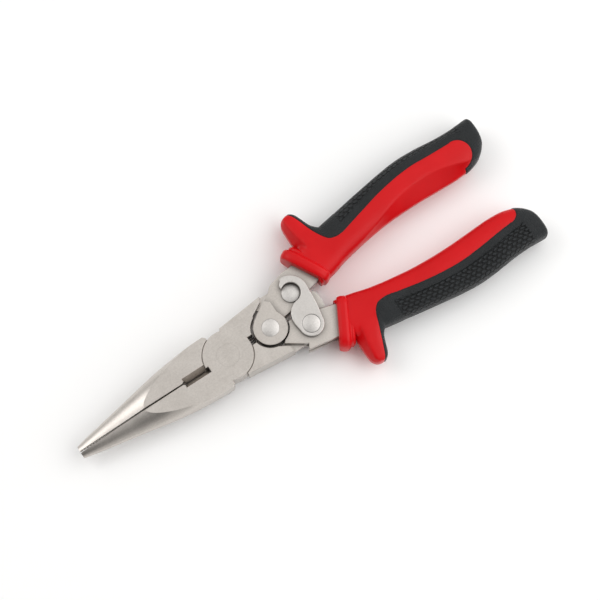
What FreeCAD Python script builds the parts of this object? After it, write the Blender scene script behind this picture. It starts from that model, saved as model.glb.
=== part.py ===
import FreeCAD, Part
import os
from math import cos, hypot, pi, sin

import Sketcher
from FreeCAD import Placement, Rotation, Vector

# Needle nose pliers with compound-action handles, in millimetres.
# The origin is on the main pivot's axis, on the flat underside of the joint.
# +X runs from the jaws towards the grips, +Y is the upper handle's side, +Z is up.
# The upper jaw is the lower jaw turned over about the X axis, but for its tail's rear edge.

DIMENSIONS = [
    # joint and jaws
    ("head_thick", 11.0, "thickness of the joint and tails"),
    ("disc_radius", 11.3, "lap disc"),
    ("disc_gap", 0.2, "clearance round the lap disc"),
    ("lap_gap", 0.08, "clearance between the two lap discs"),
    ("pivot_radius", 5.0, "main pivot rivet"),
    ("fit_gap", 0.04, "radial running clearance of every rivet"),
    ("jaw_length", 76.0, "main pivot to jaw tip"),
    ("jaw_half_width", 13.1, "half width of the closed jaws at the joint"),
    ("tip_half_width", 2.9, "half width of the closed jaws at the tip"),
    ("tip_half_height", 2.0, "half height at the tip"),
    ("tip_half_gap", 0.5, "half of the opening at the tip, at rest"),
    ("root_half_gap", 0.12, "half of the opening at the joint, at rest"),
    ("shoulder_x", 4.2, "the jaw ends this far before the pivot"),
    ("tooth_pitch", 1.5, "serration pitch"),
    ("tooth_depth", 0.35, "serration depth"),
    ("tooth_cover", 0.8, "serration height against the nose's height"),
    ("teeth_start", 28.0, "distance of the first tooth from the pivot"),
    ("cutter_inset", 1.3, "the side cutter starts this far inside the lap disc's rim"),
    ("cutter_far", 22.5, "far end of the cutter"),
    ("cutter_open", 2.3, "half width of the cutter's bevels at the faces"),
    ("relief_radius", 0.8, "round hole at the end of the cutter"),
    # linkage
    ("link_x", 37.9, "link rivets from the main pivot, along the tool"),
    ("link_y", 8.3, "link rivets from the centre line"),
    ("hub_x", 22.0, "hub rivet from the main pivot"),
    ("shank_radius", 2.6, "shank of the three small rivets"),
    ("rivet_head", 3.95, "head radius of the three small rivets"),
    ("head_depth", 1.4, "depth of the small rivets' heads"),
    ("dome_radius", 17.0, "sphere that rounds the small rivets' heads"),
    ("edge_break", 0.22, "broken edges of the forged steel"),
    ("latch_edge", 0.35, "rounded edges of the latch"),
    ("hub_gap", 0.25, "extra clearance in the hub tongue's bore"),
    ("tail_x", 3.0, "tail starts this far past the pivot"),
    ("tail_end", 25.5, "tail ends this far past the pivot"),
    ("tail_near_y", 12.0, "tail's outer edge where it starts"),
    ("tail_far_y", 14.3, "tail's outer edge where it ends"),
    ("tail_shift", 1.0, "how much nearer the lower tail's rear edge stands to its handle"),
    ("notch_half", 2.0, "half width of the notch between the tails"),
    ("tongue_thick", 2.9, "thickness of the tongues"),
    ("tongue_radius", 5.4, "round end of the link tongues"),
    ("hub_tongue", 6.3, "round end of the hub tongue"),
    ("layer_gap", 0.1, "clearance between layers that slide"),
    ("upper_ear", 3.0, "upper handle's half thickness at the fork"),
    ("lower_ear", 4.45, "lower handle's half thickness at the fork"),
    ("lug_radius", 7.7, "raised hub lug"),
    ("lug_gap", 1.1, "clearance round the hub lug"),
    ("recess_radius", 8.3, "recess round the upper link rivet"),
    ("fork_end", 46.0, "both forks end here"),
    ("tang_half", 3.0, "half thickness of the tangs"),
    # latch
    ("latch_thick", 1.6, "latch plate"),
    ("latch_lobe", 5.7, "round end at the lower link rivet"),
    ("hook_outer", 7.75, "outside radius of the hook"),
    ("hook_inner", 4.45, "inside radius of the hook"),
    # spring
    ("spring_x", 12.85, "spring's axis past the pivot"),
    ("spring_radius", 1.1, "mean radius of the coils"),
    ("spring_wire", 0.2, "wire radius"),
    ("spring_half", 6.0, "half length at rest"),
    ("spring_turns", 11.0, "coils"),
    ("pocket_gap", 0.12, "clearance between spring and pocket"),
    # grips
    ("grip_start", 50.5, "grips start this far past the pivot"),
    ("grip_length", 98.0, "length of the grips"),
    ("grip_half", 8.0, "half thickness of the grips"),
    ("grip_width", 20.0, "width of the grips at the palm"),
    ("grip_inner_y", 12.9, "inside of the grips from the centre line at the palm"),
    ("collar_half", 8.6, "half thickness of the collars"),
    ("collar_depth", 6.6, "length of the collars along the handle"),
    ("fin_reach", 39.0, "thumb fin's end from the centre line"),
    ("upper_cover_edge", 7.6, "width of the black cover on the upper grip"),
    ("lower_cover_edge", 10.6, "width of the black cover on the lower grip"),
]

doc = FreeCAD.newDocument("needle_nose_pliers")
sheet = doc.addObject("Spreadsheet::Sheet", "dims")
for row, (alias, value, meaning) in enumerate(DIMENSIONS, start=1):
    sheet.set(f"A{row}", meaning)
    sheet.set(f"B{row}", str(value))
    sheet.setAlias(f"B{row}", alias)
doc.recompute()

ALIASES = [alias for alias, value, meaning in DIMENSIONS]
D = {alias: float(sheet.get(alias)) for alias in ALIASES}


def bound(formula):
    """The formula with every alias read from the sheet."""
    words = formula.replace("(", " ( ").replace(")", " ) ").split()
    return " ".join(f"dims.{word}" if word in D else word for word in words)


def value_of(formula):
    """The formula's value in millimetres."""
    return float(sheet.evalExpression(bound(formula)))


# Heights of the layers, as formulas. The tool is symmetric about its middle plane.
MIDDLE = "head_thick / 2"
TONGUE_LOW = "head_thick / 2 - tongue_thick / 2"
TONGUE_TOP = "head_thick / 2 + tongue_thick / 2"
SLOT_LOW = "head_thick / 2 - tongue_thick / 2 - layer_gap"
SLOT_TOP = "head_thick / 2 + tongue_thick / 2 + layer_gap"
UPPER_TOP = "head_thick / 2 + upper_ear"
UPPER_LOW = "head_thick / 2 - upper_ear"
LOWER_TOP = "head_thick / 2 + lower_ear"
LOWER_LOW = "head_thick / 2 - lower_ear"
LATCH_LOW = "head_thick / 2 + lower_ear + layer_gap"
LATCH_TOP = "head_thick / 2 + lower_ear + layer_gap + latch_thick"
SHANK_BORE = "shank_radius + fit_gap"


def plate(name, corners, low, top):
    """A pad of the polygon through corners, each a pair of formulas, from low to top."""
    body = doc.addObject("PartDesign::Body", name)
    sketch = body.newObject("Sketcher::SketchObject", f"{name}_outline")
    plane = next(f for f in body.Origin.OriginFeatures if f.Role == "XY_Plane")
    sketch.AttachmentSupport = (plane, [""])
    sketch.MapMode = "FlatFace"
    sketch.setExpression("AttachmentOffset.Base.z", bound(low))
    spots = [Vector(value_of(x), value_of(y), 0) for x, y in corners]
    count = len(spots)
    for n in range(count):
        sketch.addGeometry(Part.LineSegment(spots[n], spots[(n + 1) % count]), False)
    for n in range(count):
        sketch.addConstraint(Sketcher.Constraint("Coincident", n, 2, (n + 1) % count, 1))
    for n, (x, y) in enumerate(corners):
        for kind, formula, size in (("DistanceX", x, spots[n].x), ("DistanceY", y, spots[n].y)):
            index = sketch.addConstraint(Sketcher.Constraint(kind, -1, 1, n, 1, size))
            sketch.setExpression(f"Constraints[{index}]", bound(formula))
    pad = body.newObject("PartDesign::Pad", f"{name}_pad")
    pad.Profile = sketch
    pad.setExpression("Length", f"({bound(top)}) - ({bound(low)})")
    body.Tip = pad
    return body


def rod(name, x, y, radius, low, top):
    """A cylinder along Z at x, y from low to top, all given as formulas."""
    solid = doc.addObject("Part::Cylinder", name)
    solid.setExpression("Radius", bound(radius))
    solid.setExpression("Height", f"({bound(top)}) - ({bound(low)})")
    solid.setExpression("Placement.Base.x", bound(x))
    solid.setExpression("Placement.Base.y", bound(y))
    solid.setExpression("Placement.Base.z", bound(low))
    return solid


def fused(name, pieces):
    """One solid from overlapping pieces."""
    solid = doc.addObject("Part::MultiFuse", name)
    solid.Shapes = pieces
    solid.Refine = True
    return solid


def less(name, base, cutters):
    """The base with every cutter taken away."""
    tool = cutters[0] if len(cutters) == 1 else fused(f"{name}_cutters", cutters)
    solid = doc.addObject("Part::Cut", name)
    solid.Base = base
    solid.Tool = tool
    solid.Refine = True
    return solid


def shared(name, first, second):
    """What two solids have in common."""
    solid = doc.addObject("Part::Common", name)
    solid.Base = first
    solid.Tool = second
    return solid


def plain(name, shape):
    """A feature that holds a shape worked out from the sheet's values."""
    solid = doc.addObject("Part::Feature", name)
    solid.Shape = shape
    return solid


def lies_at(edge, height):
    """Whether an edge lies in the level plane at a height."""
    first, last = edge.ParameterRange
    spots = [edge.valueAt(first + (last - first) * share) for share in (0.0, 0.37, 0.71, 1.0)]
    return all(abs(spot.z - height) < 1e-4 for spot in spots)


def beside_wall(shape, edge):
    """Whether one of an edge's faces stands upright there."""
    middle = edge.valueAt(sum(edge.ParameterRange) / 2)
    for face in shape.ancestorsOfType(edge, Part.Face):
        u, v = face.Surface.parameter(middle)
        if abs(face.normalAt(u, v).z) < 0.01:
            return True
    return False


SHORTEST_BROKEN = 1.2


def with_broken_edges(name, kind, base, heights, size, keep=lambda middle: False):
    """The base with the upright walls' edges at these heights broken. kind is Part::Chamfer
    or Part::Fillet. Short edges and those whose middle keep() picks stay sharp."""
    doc.recompute()
    levels = [value_of(height) for height in heights]
    chosen = []
    for number, edge in enumerate(base.Shape.Edges, start=1):
        if edge.Length < SHORTEST_BROKEN or keep(edge.CenterOfMass):
            continue
        if any(lies_at(edge, level) for level in levels) and beside_wall(base.Shape, edge):
            chosen.append((number, D[size], D[size]))
    solid = doc.addObject(kind, name)
    solid.Base = base
    solid.Edges = chosen
    return solid


def flipped(formula, side):
    """The formula for the lower jaw's side, or its mirror for the other one."""
    return formula if side > 0 else f"0 - ( {formula} )"


def nose_growth():
    """Stations of the nose: share of the way from the tip to the joint, share of the growth in
    half width, and half height."""
    tall, flat = D["head_thick"], D["tip_half_height"]
    return [
        (0.000, 0.00, flat),
        (0.220, 0.31, flat + 0.155 * tall),
        (0.470, 0.645, 0.51 * tall),
        (0.640, 0.86, 0.73 * tall),
        (0.780, 0.97, 1.10 * tall),
        (0.890, 1.00, 1.90 * tall),
        (1.000, 0.99, 2.60 * tall),
    ]


def nose_half_height(x):
    """Half height of the jaws at x, by straight lines between the stations."""
    tip, root = D["jaw_length"], D["shoulder_x"]
    share = (x + tip) / (tip - root)
    stations = nose_growth()
    for (a, _, low), (b, _, high) in zip(stations, stations[1:]):
        if share <= b:
            return min(low + (high - low) * (share - a) / (b - a), D["head_thick"] / 2)
    return D["head_thick"] / 2


def jaw_envelope():
    """The outside of both jaws: a loft of ellipses that grow from the tip to the joint."""
    tip, root = D["jaw_length"], D["shoulder_x"]
    wide, thin, tall = D["jaw_half_width"], D["tip_half_width"], D["head_thick"]
    rings = []
    for along, grown, half_height in nose_growth():
        centre = Vector(-tip + along * (tip - root), 0, tall / 2)
        half_width = thin + grown * (wide - thin)
        across, upward = Vector(0, half_width, 0), Vector(0, 0, half_height)
        if half_height > half_width:
            across, upward = upward, across
        ellipse = Part.Ellipse(centre + across, centre + upward, centre)
        rings.append(Part.Wire([ellipse.toShape()]))
    return Part.makeLoft(rings, True, False)


def teeth(side):
    """Upright V grooves across one jaw's gripping face."""
    length, low = D["jaw_length"], D["tip_half_gap"]
    slope = (low - D["root_half_gap"]) / length
    grooves = []
    count = int((length - D["teeth_start"]) / D["tooth_pitch"])
    for n in range(count):
        middle = -(D["teeth_start"] + (n + 0.5) * D["tooth_pitch"])
        face = -side * (D["root_half_gap"] - slope * middle)
        half = D["tooth_pitch"] * 0.42
        mouth = face + side * 0.05
        bottom = face - side * D["tooth_depth"]
        corners = [(middle - half, mouth), (middle + half, mouth), (middle, bottom)]
        high = nose_half_height(middle) * D["tooth_cover"]
        base = D["head_thick"] / 2 - high
        ring = Part.makePolygon([Vector(x, y, base) for x, y in corners + corners[:1]])
        grooves.append(Part.Face(ring).extrude(Vector(0, 0, 2 * high)))
    return Part.makeCompound(grooves)


def cutter_bevels(side):
    """The two wedges that leave a cutting edge on the middle plane."""
    near, far = D["cutter_inset"] - D["disc_radius"], -D["cutter_far"]
    middle = D["head_thick"] / 2
    land = side * 0.5
    wedges = []
    for face in (0.0, D["head_thick"]):
        beyond = middle + (face - middle) * 1.02
        ring = [(land, middle), (-side * D["cutter_open"], beyond), (land, beyond)]
        points = [Vector(far, y, z) for y, z in ring + ring[:1]]
        wedges.append(Part.Face(Part.makePolygon(points)).extrude(Vector(near - far, 0, 0)))
    return Part.makeCompound(wedges)


def tongue_corners(side):
    """The link tongue between its tail and its round end, as formulas."""
    corners = [
        ("tail_end - 6", "tail_far_y - 1.6"),
        ("tail_end", "tail_far_y"),
        ("link_x - tongue_radius * 1.55", "link_y + tongue_radius + 0.5"),
        ("link_x", "link_y + tongue_radius"),
        ("link_x - tongue_radius * 0.6", "link_y - tongue_radius * 0.8"),
        ("tail_end - 5", "tail_far_y - 3.7"),
    ]
    return [(x, flipped(y, side)) for x, y in corners]


def make_jaw(name, side):
    """One jaw, lap disc and tail. side is 1 for the lower jaw and -1 for the upper one."""
    if side > 0:
        shift = "0"
        disc_low, disc_top = f"{MIDDLE} + lap_gap / 2", "head_thick"
        away_low, away_top = "0 - 1", f"{MIDDLE} + lap_gap / 2"
    else:
        shift = "tail_shift"
        disc_low, disc_top = "0", f"{MIDDLE} - lap_gap / 2"
        away_low, away_top = f"{MIDDLE} - lap_gap / 2", "head_thick + 1"
    blank = plate(
        f"{name}_nose",
        [(x, flipped(y, side)) for x, y in [
            ("0 - jaw_length", "0 - tip_half_gap"),
            ("0 - shoulder_x", "0 - root_half_gap"),
            ("0 - shoulder_x", "0 - jaw_half_width + 1.3"),
            ("0 - shoulder_x - 1.5", "0 - jaw_half_width"),
            ("0 - shoulder_x - 8", "0 - jaw_half_width - 3"),
            ("0 - jaw_length", "0 - jaw_half_width - 3"),
        ]],
        "0", "head_thick",
    )
    nose = shared(f"{name}_shaped", blank, plain(f"{name}_envelope", jaw_envelope()))
    disc = rod(f"{name}_disc", "0", "0", "disc_radius", disc_low, disc_top)
    tail = plate(
        f"{name}_tail",
        [(x, flipped(y, side)) for x, y in [
            ("tail_x", "notch_half"),
            ("tail_x", "tail_near_y"),
            ("tail_end", "tail_far_y"),
            (f"tail_end - 1.2 + ({shift}) * 0.5", f"tail_far_y - 2.2 - ({shift}) * 0.85"),
            (f"hub_x - 4 + ({shift}) * 0.5", f"notch_half + 6.4 - ({shift}) * 0.85"),
            ("hub_x - 4", "notch_half"),
        ]],
        "0", "head_thick",
    )
    away = rod(f"{name}_other_disc", "0", "0", "disc_radius + disc_gap", away_low, away_top)
    swing = rod(f"{name}_hub_room", "hub_x", "0", "lug_radius + lug_gap", "0 - 1", "head_thick + 1")
    outer = less(f"{name}_outer", fused(f"{name}_plates", [nose, tail]), [away, swing])
    tongue = plate(f"{name}_tongue", tongue_corners(side), TONGUE_LOW, TONGUE_TOP)
    eye = rod(f"{name}_eye", "link_x", flipped("link_y", side), "tongue_radius", TONGUE_LOW, TONGUE_TOP)
    whole = fused(f"{name}_blank", [outer, disc, tongue, eye])
    reach = D["spring_half"] + D["spring_wire"] * 1.2
    pocket = Part.makeCylinder(
        D["spring_radius"] + D["spring_wire"] + D["pocket_gap"], reach,
        Vector(D["spring_x"], 0, D["head_thick"] / 2), Vector(0, side, 0),
    )
    relief = rod(f"{name}_relief", "0 - cutter_far", "0", "relief_radius", "0 - 1", "head_thick + 1")
    cutters = [
        rod(f"{name}_pivot_bore", "0", "0", "pivot_radius + fit_gap", "0 - 1", "head_thick + 1"),
        rod(f"{name}_link_bore", "link_x", flipped("link_y", side), SHANK_BORE, "0", "head_thick"),
        relief,
        plain(f"{name}_bevels", cutter_bevels(side)),
        plain(f"{name}_teeth", teeth(side)),
        plain(f"{name}_pocket", pocket),
    ]
    sharp = less(f"{name}_sharp", whole, cutters)
    return with_broken_edges(
        name, "Part::Chamfer", sharp, ["0", "head_thick"], "edge_break",
        lambda middle: hypot(middle.x, middle.y) < 1 or abs(middle.x - D["tail_x"]) < 0.01,
    )


def domed_head(name, x, y, low, top, upward):
    """A rivet head whose outer face is part of a sphere. upward is 1 if it faces up."""
    blank = rod(f"{name}_blank", x, y, "rivet_head", low, top)
    ball = doc.addObject("Part::Sphere", f"{name}_ball")
    centre = f"({top}) - dome_radius" if upward > 0 else f"({low}) + dome_radius"
    ball.setExpression("Radius", bound("dome_radius"))
    ball.setExpression("Placement.Base.x", bound(x))
    ball.setExpression("Placement.Base.y", bound(y))
    ball.setExpression("Placement.Base.z", bound(centre))
    return shared(name, blank, ball)


def rivet(name, x, y, low_head, top_head):
    """A rivet between two domed heads, each given by its low and top formulas."""
    lower = domed_head(f"{name}_low_head", x, y, *low_head, -1)
    upper = domed_head(f"{name}_top_head", x, y, *top_head, 1)
    shank = rod(f"{name}_shank", x, y, "shank_radius", f"({low_head[1]}) - 0.3", f"({top_head[0]}) + 0.3")
    return fused(name, [shank, lower, upper])


def make_rivets():
    """The main pivot, the hub rivet and the two link rivets."""
    main = rod("main_pivot_rivet", "0", "0", "pivot_radius", "0", "head_thick")
    hub = rivet("hub_rivet", "hub_x", "0",
                ("0", "head_depth"), ("head_thick - head_depth", "head_thick + 0.35"))
    upper = rivet("upper_link_rivet", "link_x", "link_y",
                  (f"{UPPER_LOW} - head_depth", UPPER_LOW), (UPPER_TOP, f"{LATCH_LOW} - layer_gap"))
    lower = rivet("lower_link_rivet", "link_x", "0 - link_y",
                  (f"{LOWER_LOW} - 1", LOWER_LOW), (LOWER_TOP, f"{LATCH_TOP} + 0.45"))
    return [main, hub, upper, lower]


# The tang's outline inside a grip, as shares of the grip's length and width.
TANG = [
    ("fork_end - 1", "8.5"), ("grip_start + 5", "10"),
    ("grip_start + grip_length * 0.25", "grip_inner_y + 2.5"),
    ("grip_start + grip_length * 0.6", "grip_inner_y + 6"),
    ("grip_start + grip_length * 0.9", "grip_inner_y + grip_width * 0.35"),
    ("grip_start + grip_length * 0.9", "grip_inner_y + grip_width * 0.65"),
    ("grip_start + grip_length * 0.6", "grip_inner_y + grip_width - 6"),
    ("grip_start + grip_length * 0.25", "grip_inner_y + grip_width * 0.55"),
    ("grip_start + 4", "19"), ("fork_end - 1", "18.5"),
]


def make_upper_handle():
    """The upper handle's steel: forked ears, raised hub lugs and a tang."""
    ears = plate("upper_ears", [
        ("hub_x - lug_radius * 0.62", "lug_radius * 0.78"),
        ("hub_x + 3.8", "link_y + 3.4"), ("hub_x + 6.8", "link_y + 4.9"),
        ("hub_x + 10", "link_y + 8"), ("link_x + 2", "link_y + 10.2"),
        ("fork_end + 2", "18.9"), ("fork_end + 6", "9"), ("fork_end + 6.4", "7.2"),
        ("link_x + 7.5", "5.4"),
        ("link_x", "2.2"), ("hub_x + lug_radius * 0.8", "0.8"), ("hub_x", "0"),
    ], UPPER_LOW, UPPER_TOP)
    hub = rod("upper_hub", "hub_x", "0", "lug_radius", UPPER_LOW, UPPER_TOP)
    tang = plate("upper_tang", TANG, f"{MIDDLE} - tang_half", f"{MIDDLE} + tang_half")
    slot = plate("upper_slot", [
        ("0", "0 - link_y * 2"), ("0", "link_y * 3"),
        ("fork_end", "link_y * 3"), ("fork_end", "0 - link_y * 2"),
    ], SLOT_LOW, SLOT_TOP)
    lugs = []
    for end, low, top in (("top", SLOT_TOP, "head_thick"), ("low", "0", SLOT_LOW)):
        plain_lug = rod(f"upper_lug_{end}_blank", "hub_x", "0", "lug_radius", low, top)
        face = "head_thick" if end == "top" else "0"
        round_lug = with_broken_edges(
            f"upper_lug_{end}", "Part::Chamfer", plain_lug, [face], "edge_break",
        )
        flank = plate(f"upper_flank_{end}", [
            ("hub_x - lug_radius * 0.62", "lug_radius * 0.78"),
            ("hub_x + 3.8", "link_y + 3.4"), ("hub_x + 6", "link_y + 1.5"),
            ("hub_x + lug_radius * 0.8", "1.5"), ("hub_x", "0"),
        ], low, top)
        lugs += [round_lug, flank]
    recess_top = rod("recess_top", "link_x", "link_y", "recess_radius", UPPER_TOP, "head_thick + 1")
    recess_low = rod("recess_low", "link_x", "link_y", "recess_radius", "0 - 1", UPPER_LOW)
    raised = less("upper_raised", fused("upper_lugs", lugs), [recess_top, recess_low])
    plates = less("upper_plates", fused("upper_blank", [ears, hub, tang]), [slot])
    whole = fused("upper_whole", [plates, raised])
    seat, depth = "rivet_head + fit_gap", "head_depth + fit_gap"
    sharp = less("upper_handle_sharp", whole, [
        rod("upper_hub_bore", "hub_x", "0", SHANK_BORE, "0 - 1", "head_thick + 1"),
        rod("upper_hub_seat", "hub_x", "0", seat, f"head_thick - ({depth})", "head_thick + 1"),
        rod("upper_hub_seat_low", "hub_x", "0", seat, "0 - 1", depth),
        rod("upper_link_bore", "link_x", "link_y", SHANK_BORE, "0", "head_thick"),
    ])
    return with_broken_edges(
        "upper_handle_core", "Part::Chamfer", sharp, [UPPER_LOW, UPPER_TOP], "edge_break",
        lambda middle: not D["hub_x"] + D["lug_radius"] < middle.x < D["fork_end"],
    )


def make_lower_handle():
    """The lower handle's steel: forked ears, the hub tongue, the stop heel and a tang."""
    ears = plate("lower_ears", [
        ("hub_x + 1.3", "0 - link_y - 0.8"), ("hub_x + 7", "0 - link_y - 4.4"),
        ("hub_x + 10.3", "0 - link_y - 6.5"), ("hub_x + 8.8", "0 - link_y - 8.8"),
        ("link_x + 5.9", "0 - link_y - 11"), ("fork_end + 2", "0 - 19.8"),
        ("fork_end + 6", "0 - 9"), ("fork_end + 6.4", "0 - 6.6"),
        ("link_x + 7.3", "0 - link_y + 3.7"),
        ("link_x - 3.5", "0 - 1.6"), ("hub_x + 8", "0 - 1.6"),
    ], LOWER_LOW, LOWER_TOP)
    tang = plate("lower_tang", [(x, flipped(y, -1)) for x, y in TANG],
                 f"{MIDDLE} - tang_half", f"{MIDDLE} + tang_half")
    heel = plate("lower_heel", [
        ("fork_end - 1.3", "0 - 6"), ("fork_end - 1.3", "3.4"), ("fork_end + 0.2", "4.2"),
        ("fork_end + 1.3", "3.6"), ("fork_end + 2", "1.0"), ("fork_end + 1.9", "0 - 2.4"),
        ("fork_end + 1.3", "0 - 6"),
    ], f"{MIDDLE} - tang_half", f"{MIDDLE} + tang_half")
    slot = plate("lower_slot", [
        ("0", "0 - link_y * 3"), ("0", "link_y * 2"), ("fork_end - 1.4", "link_y * 2"),
        ("fork_end - 1.4", "0 - link_y * 3"),
    ], SLOT_LOW, SLOT_TOP)
    room = rod("lower_hub_room", "hub_x", "0", "lug_radius + 0.5", "0 - 1", "head_thick + 1")
    plates = less("lower_plates", fused("lower_blank", [ears, tang, heel]), [slot, room])
    tongue = rod("hub_tongue_end", "hub_x", "0", "hub_tongue", TONGUE_LOW, TONGUE_TOP)
    web = plate("hub_web", [
        ("hub_x", "hub_tongue * 0.9"), ("link_x - 8", "0 - 1.5"), ("link_x - 4.6", "0 - 1.9"),
        ("link_x - 4.7", "0 - link_y + 4.9"), ("link_x - 6.9", "0 - link_y + 3.5"),
        ("hub_x + 2.5", "0 - hub_tongue * 0.92"), ("hub_x", "0"),
    ], SLOT_LOW, SLOT_TOP)
    tongue_web = plate("hub_web_thin", [
        ("hub_x", "hub_tongue * 0.9"), ("link_x - 8", "0 - 1.5"),
        ("link_x - 6.9", "0 - link_y + 3.5"), ("hub_x + 2.5", "0 - hub_tongue * 0.92"),
        ("hub_x", "0"),
    ], TONGUE_LOW, TONGUE_TOP)
    thick_web = less("hub_web_thick", web, [
        rod("hub_web_room", "hub_x", "0", "lug_radius + 0.5", "0 - 1", "head_thick + 1"),
    ])
    whole = fused("lower_whole", [plates, tongue, tongue_web, thick_web])
    sharp = less("lower_handle_sharp", whole, [
        rod("lower_hub_bore", "hub_x", "0", f"{SHANK_BORE} + hub_gap", "0 - 1", "head_thick + 1"),
        rod("lower_link_bore", "link_x", "0 - link_y", SHANK_BORE, "0", "head_thick"),
    ])
    return with_broken_edges(
        "lower_handle_core", "Part::Chamfer", sharp, [LOWER_TOP, LOWER_LOW], "edge_break",
    )


def make_latch():
    """The hooked plate on the lower link rivet."""
    lobe = rod("latch_lobe_end", "link_x", "0 - link_y", "latch_lobe", LATCH_LOW, LATCH_TOP)
    arm = plate("latch_arm", [
        ("link_x + latch_lobe", "0 - link_y"), ("link_x + 6.7", "0 - link_y * 0.4"),
        ("link_x + hook_outer - 0.3", "link_y * 0.4"), ("link_x + hook_outer", "link_y"),
        ("link_x + 1", "link_y"), ("link_x + 1", "link_y - 4.2"),
        ("link_x - 1.6", "link_y - 5.0"), ("link_x - 3.7", "link_y - 6.3"),
        ("link_x - 5.2", "link_y - 8.2"), ("link_x - 6.1", "link_y - 10.6"),
        ("link_x - 6.2", "link_y - 13"), ("link_x - latch_lobe", "0 - link_y"),
    ], LATCH_LOW, LATCH_TOP)
    hook = rod("latch_hook", "link_x", "link_y", "hook_outer", LATCH_LOW, LATCH_TOP)
    mouth = plate("latch_mouth", [
        ("link_x + 1.5", "link_y"), ("link_x - 2.8", "link_y + 3.4"), ("link_x - 2.8", "link_y + 5"),
        ("link_x - 1.2", "link_y + 6.8"), ("link_x - 0.4", "link_y + hook_outer + 1"),
        ("link_x - 12", "link_y + hook_outer + 1"), ("link_x - 12", "link_y - 12"),
        ("link_x + 1.5", "link_y - 12"),
    ], LATCH_LOW, LATCH_TOP)
    bent = less("latch_bent", hook, [mouth])
    eye = rod("latch_eye", "link_x", "link_y", "hook_inner", LATCH_LOW, LATCH_TOP)
    bore = rod("latch_bore", "link_x", "0 - link_y", "rivet_head + fit_gap", LATCH_LOW, LATCH_TOP)
    sharp = less("latch_sharp", fused("latch_blank", [lobe, arm, bent]), [eye, bore])
    return with_broken_edges("lock_latch", "Part::Fillet", sharp, [LATCH_TOP], "latch_edge")


def make_spring():
    """The opening spring, its coils along Y between the two tails."""
    half, radius, wire = D["spring_half"], D["spring_radius"], D["spring_wire"]
    pitch = 2 * (half - wire) / D["spring_turns"]
    coil = Part.makeHelix(pitch, 2 * (half - wire), radius)
    section = Part.Wire([Part.Circle(Vector(radius, 0, 0), Vector(0, 1, 0), wire).toShape()])
    shape = Part.Wire(coil.Edges).makePipeShell([section], True, True)
    turned = Placement(Vector(D["spring_x"], half - wire, D["head_thick"] / 2),
                       Rotation(Vector(1, 0, 0), 90))
    shape.Placement = turned
    return plain("opening_spring", shape)


def grip_ring(x, inner, outer, half, side):
    """A rounded ring across the grip at x: a superellipse between inner and outer."""
    middle, reach = (inner + outer) / 2, (outer - inner) / 2
    points = []
    for n in range(24):
        turn = 2 * pi * n / 24
        c, s = cos(turn), sin(turn)
        y = middle + reach * (1 if c > 0 else -1) * abs(c) ** 0.72
        z = half * (1 if s > 0 else -1) * abs(s) ** 0.72
        points.append(Vector(x, side * y, D["head_thick"] / 2 + z))
    curve = Part.BSplineCurve()
    curve.interpolate(Points=points, PeriodicFlag=True)
    return Part.Wire([curve.toShape()])


def make_grip(name, side, cover_edge):
    """One grip: the red body and the black cover on its outside."""
    inner_y, width, half = D["grip_inner_y"], D["grip_width"], D["grip_half"]
    start, length = D["grip_start"], D["grip_length"]
    outer_y = inner_y + width
    # share of the length, inner edge, outer edge and half thickness
    stations = [
        (0.05, inner_y - 6.6, outer_y - 7.0, 0.86), (0.11, inner_y - 5.4, outer_y - 4.6, 0.90),
        (0.20, inner_y - 3.6, outer_y - 5.8, 0.95), (0.32, inner_y - 1.7, outer_y - 4.6, 1.0),
        (0.48, inner_y - 0.1, outer_y - 1.4, 1.0), (0.62, inner_y, outer_y, 1.0),
        (0.76, inner_y - 0.6, outer_y - 0.9, 0.98), (0.88, inner_y, outer_y - 1.6, 0.96),
        (0.97, inner_y + 3.2, outer_y - 1.6, 0.90), (1.00, inner_y + 5.4, outer_y - 2.8, 0.72),
    ]
    rings = [grip_ring(start + share * length, low, high, half * thick, side)
             for share, low, high, thick in stations]
    bar = Part.makeLoft(rings, True, False)
    collar = collar_ring(side)
    fin = fin_blade(side)
    whole = bar.fuse([collar, fin]).removeSplitter()
    core = doc.getObject("upper_tang" if side > 0 else "lower_tang").Shape
    ears = doc.getObject("upper_ears" if side > 0 else "lower_ears").Shape
    whole = whole.cut([core, ears])
    edge = outer_y - cover_edge
    cover_line = [
        (start + 2.5, D["fin_reach"] - 1.6), (start + 7.5, outer_y - 6), (start + 12, edge - 3.4),
        (start + 20, edge - 5.6), (start + length * 0.408, edge - 1.2),
        (start + length * 0.612, edge + 1.2), (start + length - 14, edge + 0.6),
        (start + length - 9, edge - 2.4), (start + length - 11, inner_y + 5),
        (start + length - 22, inner_y - 2), (start + length + 9, inner_y - 3),
        (start + length + 9, D["fin_reach"] + 9), (start + 2.5, D["fin_reach"] + 9),
    ]
    points = [Vector(x, side * y, -D["grip_half"] * 2) for x, y in cover_line]
    curve = Part.BSplineCurve()
    curve.interpolate(points[:9])
    ring = Part.Wire([curve.toShape()] + Part.makePolygon(points[8:] + points[:1]).Edges)
    region = Part.Face(ring).extrude(Vector(0, 0, D["grip_half"] * 6))
    return [
        plain(f"{name}_body", biggest(whole.cut(region))),
        plain(f"{name}_cover", biggest(whole.common(region))),
    ]


def biggest(shape):
    """The largest solid of a shape, without the slivers that a cut can leave."""
    return max(shape.Solids, key=lambda solid: solid.Volume)


COLLAR_LIP = 1.2
COLLAR_CORNER = 3.0
COLLAR_WIDTH = 20.4
COLLAR_SLANT = 27.8


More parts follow.
